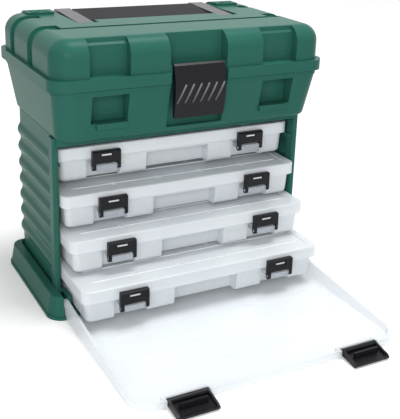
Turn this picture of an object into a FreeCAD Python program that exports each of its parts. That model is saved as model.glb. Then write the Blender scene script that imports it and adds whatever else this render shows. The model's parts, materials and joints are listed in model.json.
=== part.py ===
"""Portable fishing tackle cabinet: a ribbed cabinet with four slide-out organisers,
a clear front door, an upper bin and a latched lid with a folding carry handle.
Millimetres; Z up; the front faces -Y; the origin is the centre of the plinth's underside."""
import FreeCAD, Part
import math
import os

V = FreeCAD.Vector

# Driving dimensions of the cabinet
CABINET_HALF = 122.5
PLINTH_HALF = CABINET_HALF + 14.5
PLINTH_FRONT = -71.0
PLINTH_REAR = 71.0
PLINTH_TOP = 21.0
PLINTH_LIP = 3.0
PLINTH_TAPER = 4.0
PLINTH_CORNER = 15.0
PLINTH_WALL = 2.5
SILL_TOP = 8.4
DOOR_HALF = CABINET_HALF + 1.0
SILL_HALF = DOOR_HALF - 6.5
WALL = 2.5
CABINET_REAR = 67.0
CABINET_CORNER = 12.0
CABINET_TOP = 161.5
POST_FRONT = -49.0
POST_DEPTH = 11.0
RIDGE_HEIGHT = 2.5
RIDGE_PITCH = 16.6
RIDGE_COUNT = 7
RIDGE_FIRST = 40.4
FLOOR_TOP = 8.8
FASCIA_BOTTOM = 154.0
FASCIA_THICK = 2.5
FASCIA_SCREW_X = (-62.0, 0.0, 62.0)
FASCIA_SCREW_Z = 158.4
SCREW_RADIUS = 1.0
SCREW_HEAD = 1.5
SCREW_SINK = 1.3

# Upper bin
BIN_HALF_LOW = CABINET_HALF + 1.5
BIN_FRONT_LOW = -66.0
BIN_REAR_LOW = 71.0
BIN_HALF_HIGH = BIN_HALF_LOW + 5.0
BIN_FRONT_HIGH = -74.3
BIN_REAR_HIGH = 84.0
BIN_RIM_BOTTOM = 203.0
BIN_RIM_TOP = 206.4
BIN_RIM_PROUD = 0.7
BIN_CORNER = 16.0
BIN_BOTTOM_ROUND = 4.0
DOOR_LATCH_X = DOOR_HALF - 43.5
WINDOW_INNER = DOOR_LATCH_X - 15.0
WINDOW_OUTER = DOOR_LATCH_X + 18.0
WINDOW_BOTTOM = 177.0
WINDOW_TOP = 201.5
WINDOW_BACK = -59.0
LEDGE_BOTTOM = 172.0
LEDGE_OUTER = DOOR_LATCH_X + 13.5
LEDGE_FRONT = -71.8
LATCH_BAY_HALF = 27.6
LATCH_BAY_BOTTOM = 166.0
LATCH_BAY_BACK = -61.5
CATCH_BOTTOM = 181.4
CATCH_THICK = 3.0
CATCH_FRONT = -72.6
CATCH_HALF = 18.0

# Lid
LID_HALF = BIN_HALF_HIGH + 1.0
LID_BAND_HALF = LID_HALF + 3.0
LID_BAND_FRONT = -76.5
LID_BAND_REAR = 88.0
LID_BOTTOM = 207.0
LID_BAND_TOP = 216.6
LID_FRONT = -74.0
LID_REAR = 84.5
LID_TOP = 248.5
LID_CORNER = 18.0
LID_ROUND = 15.5
LID_GROOVE = 2.5
PANEL_INNER = WINDOW_INNER - 1.0
PANEL_OUTER = WINDOW_OUTER + 2.0
PANEL_BACK = -65.0
PANEL_STEP = 2.6
PANEL_LIP = 1.9
PANEL_STEP_Z = 242.5
SIDE_GROOVES = ((-16.0, -1.5), (38.0, 51.5))
SIDE_GROOVE_START = LID_HALF - 26.0
TOP_GROOVE_HALF = LID_HALF - 18.0
TOP_GROOVE_Y = -18.0
TOP_GROOVE_WIDTH = 6.0
TOP_GROOVE_DEPTH = 2.0
PAD_INNER = 86.0
PAD_OUTER = 111.0
PAD_FRONT = 54.0
PAD_RISE = 2.2
HINGE_Y = 91.7
HINGE_Z = 206.5
KNUCKLE_RADIUS = 3.2
KNUCKLE_CENTRE = 80.0
KNUCKLE_INNER_HALF = 5.6
KNUCKLE_OUTER_HALF = 14.0
KNUCKLE_GAP = 0.4
HINGE_PIN_RADIUS = 1.6
RUNNING_CLEARANCE = 0.08

# Carry handle
WELL_HALF = 82.0
WELL_FRONT = 4.0
FINGER_GAP_FRONT = 16.0
WELL_FLOOR = 235.0
HANDLE_Y = 11.0
HANDLE_Z = 242.7
HANDLE_END_Y = 74.5
HANDLE_END_Z = 245.2
ARM_INNER = 64.5
ARM_OUTER = 79.5
ARM_RADIUS = 4.75
ARM_NOTCH_INNER = ARM_INNER - 2.5
GRIP_FRONT_Y = 27.2
GRIP_REAR_Y = 67.5
GRIP_FRONT_Z = 243.0
GRIP_REAR_Z = 247.2
GRIP_RADIUS = 3.2
HANDLE_PIN_RADIUS = 2.2
GRIP_PIN_Y = 73.0
GRIP_PIN_Z = 246.6
GRIP_PIN_RADIUS = 1.2

# Main latch
LATCH_HALF = 24.5
LATCH_FRONT = -77.5
LATCH_BULGE = 1.2
LATCH_CURL = 2.4
LATCH_BOTTOM = 175.5
LATCH_TOP = 223.5
LATCH_FACET = 211.7
LATCH_PLATE = 2.7
LATCH_Y = -69.5
LATCH_Z = 219.0
LATCH_BARREL = 3.3
LATCH_PIN_RADIUS = 1.5
LATCH_CLEARANCE = 0.3
LATCH_RIBS = 6
LATCH_RIB_PITCH = 7.5
LATCH_RIB_TILT = 28.0
LATCH_RIB_RISE = 0.5
LATCH_RIB_LOW = 188.5
LATCH_RIB_HIGH = 207.0

# Front door, drawn lying open in front of the plinth
DOOR_WALL = 2.5
DOOR_AXIS_Y = -65.0
DOOR_AXIS_Z = 11.5
DOOR_BOTTOM = 1.0
DOOR_PLATE = 2.0
DOOR_NEAR = -72.0
DOOR_FAR = -224.0
DOOR_CORNER = 20.0
DOOR_NEAR_HEIGHT = 19.5
DOOR_FAR_HEIGHT = 7.6
DOOR_RIBS = (-118.0, -152.0, -186.0)
DOOR_PIN_RADIUS = 2.0
EAR_GAP = 0.7
EAR_CHEEK = 3.5
DOOR_LATCH_HALF = 17.5
DOOR_LATCH_Y = DOOR_FAR + 1.8
DOOR_LATCH_Z = 5.2
DOOR_LATCH_BARREL = 2.6
DOOR_LATCH_PIN = 1.2
DOOR_LATCH_REACH = 19.3
DOOR_LATCH_TIP = DOOR_LATCH_Y - DOOR_LATCH_REACH
DOOR_NOTCH_Y = DOOR_LATCH_Y + DOOR_LATCH_BARREL + 0.3
SIDE_GAP = 0.7

# Organisers, each drawn with the middle of its rim's front at the origin
ORGANIZER_BOTTOMS = (116.0, 78.2, 43.7, 9.2)
ORGANIZER_FRONTS = (-39.9, -56.5, -76.2, -104.5)
RIM_HALF = CABINET_HALF - 3.2
RIM_DEPTH = 101.0
RIM_CORNER = 7.0
RIM_BOTTOM = 20.7
RIM_TOP = 32.0
RIM_SKIRT = 2.2
TRAY_GAP = 0.7
TRAY_TOP = 30.0
TRAY_DRAFT = 1.6
TRAY_CORNER = 6.0
TRAY_ROUND = 4.0
TRAY_WALL = 1.6
LID_PANEL_MARGIN = 8.0
LID_PANEL_SINK = 0.6
DIVIDER_XS = (-66.0, -22.0, 22.0, 66.0)
DIVIDER_THICK = 1.2
DIVIDER_TOP = 28.0
BAY_HALF = 32.0
BAY_DEPTH = 13.0
CLIP_BAY_MARGIN = 16.0
CLIP_BAY_DEPTH = 9.0
BAY_TOP = 17.8
CLIP_X = RIM_HALF - 45.3
CLIP_HALF = 13.2
CLIP_BOTTOM = 9.5
CLIP_TOP = 27.5
CLIP_FRONT = -5.3
CLIP_BACK = -0.5
CLIP_PIVOT_Y = -2.9
CLIP_PIVOT_Z = 12.3
CLIP_PIN_RADIUS = 1.4
CLIP_BOSS_HALF = 9.8
CATCH_HALF_WIDTH = 4.6
CATCH_LOW = 23.0
CATCH_HIGH = 24.2
CLIP_SLOT_GAP = 0.8
ORGANIZER_PIN_RADIUS = 1.2
RUNNER_INNER = RIM_HALF - 2.1
RUNNER_THICK = 2.0
RUNNER_CLEARANCE = 0.3


def box(x_low, x_high, y_low, y_high, z_low, z_high):
    return Part.makeBox(x_high - x_low, y_high - y_low, z_high - z_low, V(x_low, y_low, z_low))


def bar(radius, x_low, x_high, y, z):
    return Part.makeCylinder(radius, x_high - x_low, V(x_low, y, z), V(1, 0, 0))


def side_profile(points, x_low, x_high):
    """A prism along X from (y, z) points."""
    corners = [V(x_low, y, z) for y, z in points]
    wire = Part.makePolygon(corners + corners[:1])
    return Part.Face(wire).extrude(V(x_high - x_low, 0, 0))


def round_rect(half, y_low, y_high, radius, z):
    """A wire: a rectangle with round corners, centred on X = 0."""
    bend = radius * (1 - math.sqrt(0.5))
    edges = []
    corners = ((half, y_low, 1, -1), (half, y_high, 1, 1), (-half, y_high, -1, 1), (-half, y_low, -1, -1))
    arcs = []
    for index, (x, y, side_x, side_y) in enumerate(corners):
        along_x = V(x - side_x * radius, y, z)
        along_y = V(x, y - side_y * radius, z)
        middle = V(x - side_x * bend, y - side_y * bend, z)
        first, last = (along_x, along_y) if index % 2 == 0 else (along_y, along_x)
        arcs.append((first, middle, last))
    for index, (first, middle, last) in enumerate(arcs):
        edges.append(Part.Arc(first, middle, last).toShape())
        edges.append(Part.makeLine(last, arcs[(index + 1) % 4][0]))
    return Part.Wire(edges)


def round_block(half, y_low, y_high, radius, z_low, z_high):
    return Part.Face(round_rect(half, y_low, y_high, radius, z_low)).extrude(V(0, 0, z_high - z_low))


def round_loft(lower, upper):
    """A drafted block between two round_rect argument sets."""
    return Part.makeLoft([round_rect(*lower), round_rect(*upper)], True, True)


def edges_at_height(shape, z):
    return [edge for edge in shape.Edges
            if abs(edge.BoundBox.ZMin - z) < 1e-4 and abs(edge.BoundBox.ZMax - z) < 1e-4]


def round_height(shape, z, radius):
    return shape.makeFillet(radius, edges_at_height(shape, z))


def both_sides(shape):
    """The shape and its mirror image across X = 0."""
    return [shape, shape.mirror(V(0, 0, 0), V(1, 0, 0))]


def stadium(start, end, radius, x_low, x_high):
    """A bar along X whose section is a slot between two (y, z) centres."""
    along = V(0, end[0] - start[0], end[1] - start[1]).normalize()
    across = V(0, -along.z, along.y) * radius
    corners = [(start[0] + across.y, start[1] + across.z), (end[0] + across.y, end[1] + across.z),
               (end[0] - across.y, end[1] - across.z), (start[0] - across.y, start[1] - across.z)]
    body = side_profile(corners, x_low, x_high)
    return body.fuse([bar(radius, x_low, x_high, *start), bar(radius, x_low, x_high,
                                                              *end)]).removeSplitter()


def save(name, shape):
    shape.exportStep("parts/" + name + ".step")


os.makedirs("parts", exist_ok=True)

# Base plinth: a flared hollow foot with a stepped lip, a flange round the cabinet, a low sill
# under the drawers and slots for the door's ears
flange_inset = PLINTH_TAPER
plinth = round_loft(
    (PLINTH_HALF - 1, PLINTH_FRONT + 1, PLINTH_REAR - 1, PLINTH_CORNER - 1, PLINTH_LIP),
    (PLINTH_HALF - flange_inset, PLINTH_FRONT + flange_inset, PLINTH_REAR - flange_inset,
     PLINTH_CORNER - flange_inset, PLINTH_TOP))
plinth = plinth.fuse(round_block(PLINTH_HALF, PLINTH_FRONT, PLINTH_REAR, PLINTH_CORNER, 0, PLINTH_LIP))
plinth = round_height(plinth, PLINTH_TOP, 1.5)
hollow_inset = flange_inset + PLINTH_WALL
hollow = round_block(PLINTH_HALF - hollow_inset, PLINTH_FRONT + hollow_inset, PLINTH_REAR - hollow_inset,
                     PLINTH_CORNER - hollow_inset, PLINTH_WALL, PLINTH_TOP - PLINTH_WALL)
ear_inner = DOOR_HALF - DOOR_WALL - EAR_GAP
ear_outer = DOOR_HALF + EAR_GAP
for cheek_low, cheek_high in ((SILL_HALF, ear_inner), (ear_outer, ear_outer + EAR_CHEEK)):
    for cheek in both_sides(box(cheek_low, cheek_high, PLINTH_FRONT, DOOR_AXIS_Y + 8, 0, PLINTH_TOP)):
        hollow = hollow.cut(cheek)
hollow = hollow.cut(box(-SILL_HALF, SILL_HALF, PLINTH_FRONT, POST_FRONT, SILL_TOP - PLINTH_WALL, SILL_TOP))
plinth = plinth.cut(hollow)
hole_half = CABINET_HALF + RIDGE_HEIGHT + 0.3
ahead_of_posts = POST_FRONT - CABINET_CORNER - 8
cabinet_hole = round_block(hole_half, ahead_of_posts, CABINET_REAR + 0.5, CABINET_CORNER, PLINTH_WALL,
                           PLINTH_TOP + 1)
cabinet_hole = cabinet_hole.common(box(-hole_half, hole_half, POST_FRONT - 0.3, PLINTH_REAR, 0,
                                       PLINTH_TOP + 1))
plinth = plinth.cut(cabinet_hole)
plinth = plinth.cut(box(-SILL_HALF, SILL_HALF, PLINTH_FRONT - 1, POST_FRONT, SILL_TOP, PLINTH_TOP + 1))
for slot in both_sides(box(ear_inner, ear_outer, PLINTH_FRONT - 1, POST_FRONT - 3, PLINTH_LIP,
                           PLINTH_TOP + 1)):
    plinth = plinth.cut(slot)
pin_hole = bar(DOOR_PIN_RADIUS + 0.02, ear_inner - EAR_CHEEK + 0.5, ear_outer + EAR_CHEEK - 0.5,
               DOOR_AXIS_Y, DOOR_AXIS_Z)
for hole in both_sides(pin_hole):
    plinth = plinth.cut(hole)
save("base_plinth", plinth)

door_pin = bar(DOOR_PIN_RADIUS, ear_inner - EAR_CHEEK + 0.6, ear_outer + EAR_CHEEK - 0.6,
               DOOR_AXIS_Y, DOOR_AXIS_Z)
save("door_hinge_pins", Part.makeCompound(both_sides(door_pin)))

# Cabinet shell: a wavy wall bent round three sides, with front posts, a floor, a top deck,
# a header behind the fascia and a pair of runners for each organiser
ridge_low = RIDGE_FIRST - RIDGE_PITCH / 2
ridge_high = ridge_low + RIDGE_COUNT * RIDGE_PITCH
wall_foot = PLINTH_WALL


def wavy_edge(shift):
    """The wall's outer line in the XZ plane, moved inwards by shift, as a chain of arcs."""
    half_wave = RIDGE_PITCH / 2
    quarter = RIDGE_PITCH / 4
    bend = (quarter ** 2 + (RIDGE_HEIGHT / 2) ** 2) / RIDGE_HEIGHT
    toe = bend - math.sqrt(bend ** 2 - (quarter / 2) ** 2)
    valley_x = CABINET_HALF - shift
    middle_x = valley_x + RIDGE_HEIGHT / 2
    arcs = [((valley_x, ridge_low), (valley_x + toe, ridge_low + quarter / 2), (middle_x,
                                                                                ridge_low + quarter))]
    for step in range(2 * RIDGE_COUNT - 1):
        top = ridge_low + (step + 1) * half_wave
        swell = RIDGE_HEIGHT if step % 2 == 0 else 0
        arcs.append(((middle_x, top - quarter), (valley_x + swell, top), (middle_x, top + quarter)))
    arcs.append(((middle_x, ridge_high - quarter), (valley_x + toe, ridge_high - quarter / 2),
                 (valley_x, ridge_high)))
    edges = [Part.Arc(*[V(x, 0, z) for x, z in points]).toShape() for points in arcs]
    return edges, V(valley_x, 0, wall_foot), V(valley_x, 0, CABINET_TOP)


outer_curve, outer_foot, outer_head = wavy_edge(0)
inner_curve, inner_foot, inner_head = wavy_edge(WALL)
valley_low = V(CABINET_HALF, 0, ridge_low)
valley_high = V(CABINET_HALF, 0, ridge_high)
inward = V(-WALL, 0, 0)
wall_edges = [Part.makeLine(outer_foot, valley_low), Part.makeLine(valley_high, outer_head),
              Part.makeLine(outer_head, inner_head), Part.makeLine(inner_head, valley_high + inward),
              Part.makeLine(valley_low + inward, inner_foot), Part.makeLine(inner_foot, outer_foot)]
wall_wire = Part.Wire(Part.__sortEdges__(wall_edges + outer_curve + inner_curve))
bend_x = CABINET_HALF - CABINET_CORNER
bend_y = CABINET_REAR - CABINET_CORNER
leg_front = POST_FRONT + POST_DEPTH - 1
section = Part.Face(wall_wire)
section.translate(V(0, leg_front, 0))
leg = section.extrude(V(0, bend_y - leg_front, 0))
section.translate(V(0, bend_y - leg_front, 0))
bend = section.revolve(V(bend_x, bend_y, 0), V(0, 0, 1), 90)
section.rotate(V(bend_x, bend_y, 0), V(0, 0, 1), 90)
back = section.extrude(V(-2 * bend_x, 0, 0))
cabinet = back.fuse(both_sides(leg) + both_sides(bend))
post = box(CABINET_HALF - WALL - 0.2, CABINET_HALF + RIDGE_HEIGHT, POST_FRONT, POST_FRONT + POST_DEPTH,
           wall_foot, CABINET_TOP)
post = post.makeFillet(2.3, [edge for edge in post.Edges
                             if edge.BoundBox.ZLength > 100 and edge.BoundBox.YMax < POST_FRONT + 1])
deck_half = CABINET_HALF - WALL + 0.5
deck_rear = CABINET_REAR - WALL + 0.5
fittings = both_sides(post)
for deck_low, deck_high in ((FLOOR_TOP - WALL, FLOOR_TOP), (CABINET_TOP - WALL, CABINET_TOP)):
    deck = round_block(deck_half, ahead_of_posts, deck_rear, CABINET_CORNER - 1, deck_low, deck_high)
    fittings.append(deck.common(box(-deck_half, deck_half, POST_FRONT + 1, deck_rear, 0, CABINET_TOP)))
fittings.append(box(-deck_half, deck_half, POST_FRONT + 1, POST_FRONT + 4, FASCIA_BOTTOM, CABINET_TOP))
for tray_bottom in ORGANIZER_BOTTOMS:
    runner_top = tray_bottom + RIM_BOTTOM - RUNNER_CLEARANCE
    fittings += both_sides(box(RUNNER_INNER, CABINET_HALF - 0.1, POST_FRONT + 4, deck_rear - 10,
                               runner_top - RUNNER_THICK, runner_top))
cabinet = cabinet.fuse(fittings)
screw_holes = [Part.makeCylinder(SCREW_RADIUS + 0.05, 10, V(x, POST_FRONT - 5, FASCIA_SCREW_Z), V(0, 1, 0))
               for x in FASCIA_SCREW_X]
cabinet = cabinet.cut(screw_holes).removeSplitter()
save("cabinet_shell", cabinet)

# Fascia strip across the front of the deck, and its screws
fascia_back = POST_FRONT + 1
fascia_front = fascia_back - FASCIA_THICK
fascia_half = CABINET_HALF - 0.5
fascia = box(-fascia_half, fascia_half, fascia_front, fascia_back, FASCIA_BOTTOM, CABINET_TOP)
fascia = fascia.cut(both_sides(box(CABINET_HALF - WALL - 0.5, DOOR_HALF + 9, POST_FRONT - 0.1, fascia_back,
                                   FASCIA_BOTTOM, CABINET_TOP)))
screws = []
for x in FASCIA_SCREW_X:
    centre = V(x, fascia_front, FASCIA_SCREW_Z)
    sink = Part.makeCylinder(SCREW_HEAD + 0.2, SCREW_SINK, centre, V(0, 1, 0))
    fascia = fascia.cut(sink).cut(Part.makeCylinder(SCREW_RADIUS + 0.05, 9, centre, V(0, 1, 0)))
    head = Part.makeCylinder(SCREW_HEAD, 0.7, centre + V(0, SCREW_SINK - 0.7, 0), V(0, 1, 0))
    shank = Part.makeCylinder(SCREW_RADIUS, 4.8, centre + V(0, SCREW_SINK - 0.3, 0), V(0, 1, 0))
    screws.append(head.fuse(shank))
save("fascia_strip", fascia)
save("fascia_screws", Part.makeCompound(screws))

# Upper bin: a flared open box with two finger windows over their ledges, a bay for the
# main latch and its catch, and knuckles for the lid
bin_height = BIN_RIM_BOTTOM - CABINET_TOP


def bin_outline(z, inset):
    rise = (z - CABINET_TOP) / bin_height
    half = BIN_HALF_LOW + (BIN_HALF_HIGH - BIN_HALF_LOW) * rise
    front = BIN_FRONT_LOW + (BIN_FRONT_HIGH - BIN_FRONT_LOW) * rise
    rear = BIN_REAR_LOW + (BIN_REAR_HIGH - BIN_REAR_LOW) * rise
    return half - inset, front + inset, rear - inset, BIN_CORNER - inset, z


def front_recesses(grow):
    """The finger windows and the latch bay, made larger by grow to wrap a wall round them."""
    front = BIN_FRONT_HIGH - BIN_RIM_PROUD - 1
    windows = both_sides(box(WINDOW_INNER - grow, WINDOW_OUTER + grow, front, WINDOW_BACK + grow,
                             WINDOW_BOTTOM - grow, WINDOW_TOP + grow))
    return windows + [box(-LATCH_BAY_HALF - grow, LATCH_BAY_HALF + grow, front, LATCH_BAY_BACK + grow,
                          LATCH_BAY_BOTTOM - grow, BIN_RIM_TOP + 1)]


upper_bin = round_height(round_loft(bin_outline(CABINET_TOP, 0), bin_outline(BIN_RIM_BOTTOM, 0)),
                         CABINET_TOP, BIN_BOTTOM_ROUND)
rim_half, rim_front, rim_rear, rim_corner, rim_z = bin_outline(BIN_RIM_BOTTOM, -BIN_RIM_PROUD)
upper_bin = upper_bin.fuse(round_block(rim_half, rim_front, rim_rear, rim_corner, rim_z, BIN_RIM_TOP))
bin_hollow = round_height(round_loft(bin_outline(CABINET_TOP + WALL, WALL),
                                     bin_outline(BIN_RIM_TOP + 1, WALL)),
                          CABINET_TOP + WALL, BIN_BOTTOM_ROUND - WALL)
upper_bin = upper_bin.cut(bin_hollow.cut(front_recesses(WALL))).cut(front_recesses(0))
ledge = box(WINDOW_INNER, LEDGE_OUTER, LEDGE_FRONT, BIN_FRONT_LOW + 1, LEDGE_BOTTOM, WINDOW_BOTTOM)
catch = box(-CATCH_HALF, CATCH_HALF, CATCH_FRONT, LATCH_BAY_BACK + 1, CATCH_BOTTOM,
            CATCH_BOTTOM + CATCH_THICK)
bin_fittings = both_sides(ledge) + [catch]
bin_knuckle_z = HINGE_Z - KNUCKLE_RADIUS
for side in (-1, 1):
    for low, high in ((KNUCKLE_INNER_HALF + KNUCKLE_GAP, KNUCKLE_OUTER_HALF),
                      (-KNUCKLE_OUTER_HALF, -KNUCKLE_INNER_HALF - KNUCKLE_GAP)):
        x_low = side * KNUCKLE_CENTRE + low
        x_high = side * KNUCKLE_CENTRE + high
        knuckle = bar(KNUCKLE_RADIUS, x_low, x_high, HINGE_Y, HINGE_Z)
        arm = box(x_low, x_high, rim_rear - 1, HINGE_Y, bin_knuckle_z, bin_knuckle_z + 2.4)
        bin_fittings.append(knuckle.fuse(arm))
upper_bin = upper_bin.fuse(bin_fittings)
hinge_holes = [bar(HINGE_PIN_RADIUS + 0.02, side * KNUCKLE_CENTRE - KNUCKLE_OUTER_HALF - 1,
                   side * KNUCKLE_CENTRE + KNUCKLE_OUTER_HALF + 1, HINGE_Y, HINGE_Z) for side in (-1, 1)]
upper_bin = upper_bin.cut(hinge_holes).removeSplitter()
save("upper_bin", upper_bin)
lid_pins = [bar(HINGE_PIN_RADIUS, side * KNUCKLE_CENTRE - KNUCKLE_OUTER_HALF,
                side * KNUCKLE_CENTRE + KNUCKLE_OUTER_HALF, HINGE_Y, HINGE_Z) for side in (-1, 1)]
save("lid_hinge_pins", Part.makeCompound(lid_pins))

# Lid: a hollow cover with a band, recessed front panels, wrap-over side grooves,
# bare raised pads and a well for the carry handle


def lid_body(inset):
    body = round_block(LID_HALF - inset, LID_FRONT + inset, LID_REAR - inset, LID_CORNER - inset,
                       LID_BOTTOM, LID_TOP - inset)
    return round_height(body, LID_TOP - inset, LID_ROUND - inset)


lid = lid_body(0).fuse(round_block(LID_BAND_HALF, LID_BAND_FRONT, LID_BAND_REAR, LID_CORNER - 2,
                                   LID_BOTTOM, LID_BAND_TOP))
pad_block = box(PAD_INNER, PAD_OUTER, PAD_FRONT, LID_REAR - 2, LID_TOP - 3, LID_TOP + PAD_RISE)
pad_block = pad_block.makeFillet(3, [edge for edge in pad_block.Edges if edge.BoundBox.ZLength > 1])
lid = lid.fuse([pad.common(lid_body(-PAD_RISE)) for pad in both_sides(pad_block)])
in_front = LID_BAND_FRONT - 1
above = LID_TOP + 5
panel_step_back = PANEL_BACK + PANEL_STEP
recesses = both_sides(side_profile([
    (in_front, LID_BAND_TOP), (PANEL_BACK, LID_BAND_TOP), (PANEL_BACK, PANEL_STEP_Z),
    (panel_step_back, PANEL_STEP_Z + PANEL_LIP), (panel_step_back, above), (in_front, above)],
    PANEL_INNER, PANEL_OUTER))
recesses.append(box(-LATCH_BAY_HALF, LATCH_BAY_HALF, in_front, LATCH_BAY_BACK, LID_BOTTOM - 1, above))
inner_shape = lid_body(LID_GROOVE)
for y_low, y_high in SIDE_GROOVES:
    groove = box(SIDE_GROOVE_START, LID_BAND_HALF + 1, y_low, y_high, LID_BAND_TOP, LID_TOP + 5)
    recesses += both_sides(groove.cut(inner_shape))
groove_ends = [Part.makeCylinder(TOP_GROOVE_WIDTH / 2, 5, V(x, TOP_GROOVE_Y, LID_TOP - TOP_GROOVE_DEPTH))
               for x in (-TOP_GROOVE_HALF, TOP_GROOVE_HALF)]
top_groove = box(-TOP_GROOVE_HALF, TOP_GROOVE_HALF, TOP_GROOVE_Y - TOP_GROOVE_WIDTH / 2,
                 TOP_GROOVE_Y + TOP_GROOVE_WIDTH / 2, LID_TOP - TOP_GROOVE_DEPTH, LID_TOP + 3)
recesses += [top_groove.fuse(groove_ends)]
recesses.append(box(-WELL_HALF, WELL_HALF, FINGER_GAP_FRONT, LID_BAND_REAR + 5, WELL_FLOOR, LID_TOP + 5))
recesses += both_sides(box(ARM_NOTCH_INNER, WELL_HALF, WELL_FRONT, FINGER_GAP_FRONT + 1, WELL_FLOOR,
                           LID_TOP + 5))
lid = lid.cut(recesses)
cavity = lid_body(LID_GROOVE + WALL)
cavity = cavity.cut([box(-LATCH_BAY_HALF - WALL, LATCH_BAY_HALF + WALL, in_front, LATCH_BAY_BACK + WALL,
                         LID_BOTTOM - 1, LID_TOP),
                     box(-WELL_HALF - WALL, WELL_HALF + WALL, FINGER_GAP_FRONT - WALL, LID_BAND_REAR,
                         WELL_FLOOR - WALL, LID_TOP)])
cavity = cavity.cut(both_sides(box(ARM_NOTCH_INNER - WALL, WELL_HALF + WALL, WELL_FRONT - WALL,
                                   FINGER_GAP_FRONT,
                                   WELL_FLOOR - WALL, LID_TOP)))
cavity = cavity.cut(both_sides(box(PANEL_INNER - WALL, PANEL_OUTER + WALL, in_front,
                                   panel_step_back + WALL, LID_BOTTOM - 1, LID_TOP)))
lid = lid.cut(cavity)
lug = box(LATCH_HALF + 0.4, LATCH_BAY_HALF + 0.1, LATCH_Y - 2.6, LATCH_BAY_BACK + 1, LATCH_Z - 5,
          LATCH_Z + 3.2)
lid_knuckles = []
for side in (-1, 1):
    x_low = side * KNUCKLE_CENTRE - KNUCKLE_INNER_HALF
    x_high = side * KNUCKLE_CENTRE + KNUCKLE_INNER_HALF
    knuckle = bar(KNUCKLE_RADIUS, x_low, x_high, HINGE_Y, HINGE_Z)
    arm = box(x_low, x_high, LID_BAND_REAR - 1, HINGE_Y, LID_BOTTOM + 0.3, LID_BOTTOM + 2.7)
    lid_knuckles.append(knuckle.fuse(arm))
lid = lid.fuse(both_sides(lug) + lid_knuckles)
knuckle_holes = [bar(HINGE_PIN_RADIUS + RUNNING_CLEARANCE, side * KNUCKLE_CENTRE - KNUCKLE_INNER_HALF - 1,
                     side * KNUCKLE_CENTRE + KNUCKLE_INNER_HALF + 1, HINGE_Y, HINGE_Z) for side in (-1, 1)]
latch_pin_end = LATCH_BAY_HALF + 1.5
handle_pin_end = WELL_HALF + 3
lid_holes = [bar(LATCH_PIN_RADIUS + 0.02, -latch_pin_end - 0.1, latch_pin_end + 0.1, LATCH_Y, LATCH_Z)]
lid_holes += both_sides(bar(HANDLE_PIN_RADIUS + 0.02, WELL_HALF - 1, handle_pin_end + 0.1, HANDLE_Y,
                            HANDLE_Z))
lid_holes += knuckle_holes
lid = lid.cut(lid_holes).removeSplitter()
save("lid", lid)

# Carry handle: two flat arms on pins at the well's front corners, a wide grip between them
# and the two pins that hold it
arm_start = (HANDLE_Y, HANDLE_Z)
arm = stadium(arm_start, (HANDLE_END_Y, HANDLE_END_Z), ARM_RADIUS, ARM_INNER, ARM_OUTER)
arm = arm.cut(bar(HANDLE_PIN_RADIUS + RUNNING_CLEARANCE, ARM_INNER - 1, ARM_OUTER + 1, *arm_start))
arm = arm.cut(bar(GRIP_PIN_RADIUS + 0.02, ARM_INNER - 1, ARM_OUTER - 3, GRIP_PIN_Y, GRIP_PIN_Z))
save("handle_arms", Part.makeCompound(both_sides(arm)))
grip = stadium((GRIP_FRONT_Y, GRIP_FRONT_Z), (GRIP_REAR_Y, GRIP_REAR_Z), GRIP_RADIUS, -ARM_INNER, ARM_INNER)
save("handle_grip", grip)
handle_pin = bar(HANDLE_PIN_RADIUS, ARM_INNER - 0.4, handle_pin_end, *arm_start)
handle_pin = handle_pin.fuse(bar(HANDLE_PIN_RADIUS + 1, ARM_INNER - 1.6, ARM_INNER - 0.4, *arm_start))
save("handle_pins", Part.makeCompound(both_sides(handle_pin)))
grip_pin = bar(GRIP_PIN_RADIUS, ARM_INNER - 0.8, ARM_OUTER - 3.2, GRIP_PIN_Y, GRIP_PIN_Z)
save("grip_pins", Part.makeCompound(both_sides(grip_pin)))

# Main latch: a plate with a bent top, a barrel, side flanges, slanting ribs and a hook
plate_back = LATCH_FRONT + LATCH_PLATE
hook_top = CATCH_BOTTOM - 0.6
hook_back = CATCH_FRONT - LATCH_CLEARANCE
latch_face = []
for step in range(13):
    share = step / 12
    swell = LATCH_CURL * (1 - share) ** 3 - LATCH_BULGE * math.sin(math.pi * share)
    latch_face.append((LATCH_FRONT + swell, LATCH_BOTTOM + (LATCH_FACET - LATCH_BOTTOM) * share))
latch = side_profile(latch_face + [
    (LATCH_FRONT + 2.4, LATCH_TOP - 1.6), (LATCH_FRONT + 4.4, LATCH_TOP), (LATCH_Y, LATCH_TOP - 1.2),
    (LATCH_Y, LATCH_Z - LATCH_BARREL), (plate_back, LATCH_FACET - 2), (plate_back, hook_top + 0.8),
    (hook_back, hook_top), (hook_back, LATCH_BOTTOM + 1.6), (plate_back, LATCH_BOTTOM)],
    -LATCH_HALF, LATCH_HALF)
ribs = []
for index in range(LATCH_RIBS):
    x = (index - (LATCH_RIBS - 1) / 2) * LATCH_RIB_PITCH
    rib = box(x - 0.9, x + 0.9, LATCH_FRONT - 5, LATCH_FRONT + 1.5, LATCH_RIB_LOW, LATCH_RIB_HIGH)
    rib.rotate(V(x, LATCH_FRONT, (LATCH_RIB_LOW + LATCH_RIB_HIGH) / 2), V(0, 1, 0), LATCH_RIB_TILT)
    ribs.append(rib.common(latch.translated(V(0, -LATCH_RIB_RISE, 0))))
latch = latch.fuse(bar(LATCH_BARREL, -LATCH_HALF, LATCH_HALF, LATCH_Y, LATCH_Z))
flange = side_profile([(plate_back - 0.5, LATCH_BOTTOM + 1), (hook_back, LATCH_BOTTOM + 3),
                       (hook_back, LATCH_FACET + 2), (plate_back - 0.5, LATCH_FACET + 2)],
                      LATCH_HALF - 2, LATCH_HALF)
latch = latch.fuse(both_sides(flange))
latch = latch.fuse(ribs)
latch = latch.cut(bar(LATCH_PIN_RADIUS + RUNNING_CLEARANCE, -LATCH_HALF - 1, LATCH_HALF + 1, LATCH_Y,
                      LATCH_Z))
save("main_latch", latch)
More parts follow.
